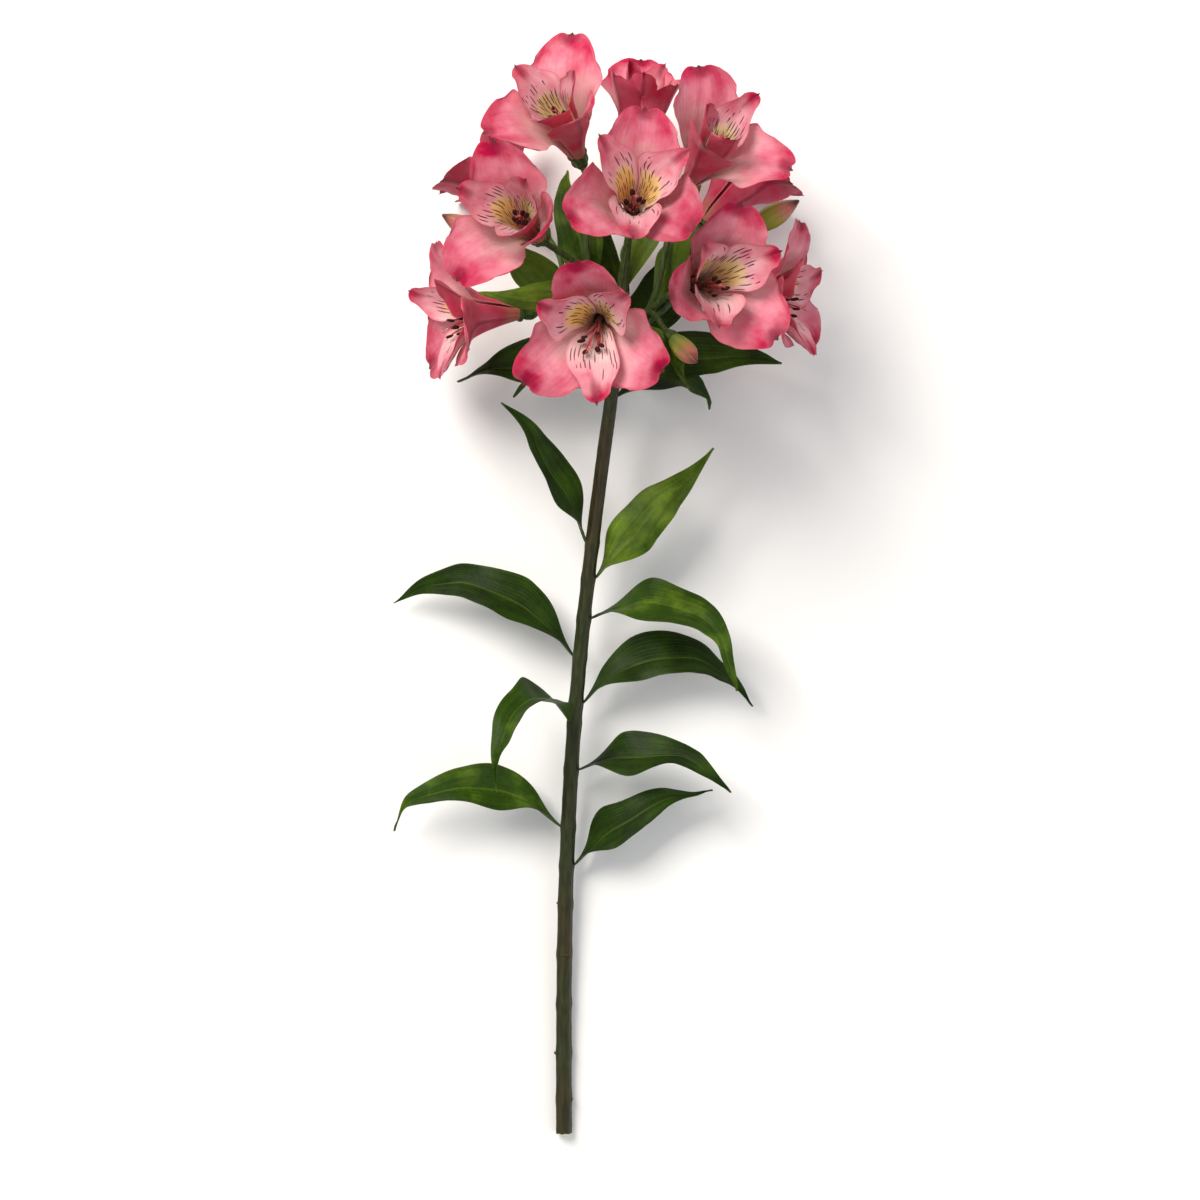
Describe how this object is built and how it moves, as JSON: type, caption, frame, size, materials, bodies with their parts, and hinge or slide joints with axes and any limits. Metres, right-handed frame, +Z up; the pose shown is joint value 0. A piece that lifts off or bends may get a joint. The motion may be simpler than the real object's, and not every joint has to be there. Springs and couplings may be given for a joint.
{
  "type": "alstroemeria stem",
  "caption": "Cut alstroemeria stem lying down, with lance-shaped leaves and a head of open pink blooms, marked inside, and closed buds.",
  "frame": {"origin": "middle of the underside of the box round the whole stem, on the surface it lies on", "axes": "+Y from the cut end to the flower head, +Z up from the surface, +X to the right when seen from above"},
  "size_m": [0.202, 0.484, 0.1515],
  "materials": {
    "stem_green": "satin plant skin",
    "leaf_green": "satin leaf",
    "tepal_pink": "soft petal",
    "stamen_red": "soft filament",
    "bud_tone": "soft bud"
  },
  "bodies": {
    "root": {"stem": "stem_green", "bloom_1_tepals": "tepal_pink", "bloom_1_stamens": "stamen_red", "bloom_2_tepals": "tepal_pink", "bloom_2_stamens": "stamen_red", "bloom_3_tepals": "tepal_pink", "bloom_3_stamens": "stamen_red", "bloom_4_tepals": "tepal_pink", "bloom_4_stamens": "stamen_red", "bloom_5_tepals": "tepal_pink", "bloom_5_stamens": "stamen_red", "bloom_6_tepals": "tepal_pink", "bloom_6_stamens": "stamen_red", "bloom_7_tepals": "tepal_pink", "bloom_7_stamens": "stamen_red", "bloom_8_tepals": "tepal_pink", "bloom_8_stamens": "stamen_red", "bloom_9_tepals": "tepal_pink", "bloom_9_stamens": "stamen_red", "bloom_10_tepals": "tepal_pink", "bloom_10_stamens": "stamen_red", "bloom_11_tepals": "tepal_pink", "bloom_11_stamens": "stamen_red", "bud_1": "bud_tone", "bud_2": "bud_tone", "bud_3": "bud_tone", "whorl_leaf_1": "leaf_green", "whorl_leaf_2": "leaf_green", "whorl_leaf_3": "leaf_green", "whorl_leaf_4": "leaf_green", "whorl_leaf_5": "leaf_green", "whorl_leaf_6": "leaf_green", "stem_leaf_1": "leaf_green", "stem_leaf_2": "leaf_green", "stem_leaf_3": "leaf_green", "stem_leaf_4": "leaf_green", "stem_leaf_5": "leaf_green", "stem_leaf_6": "leaf_green", "stem_leaf_7": "leaf_green", "stem_leaf_8": "leaf_green", "stem_leaf_9": "leaf_green", "bract_1": "leaf_green", "bract_2": "leaf_green", "bract_3": "leaf_green", "bract_4": "leaf_green", "bract_5": "leaf_green", "bract_6": "leaf_green"}
  },
  "joints": []
}
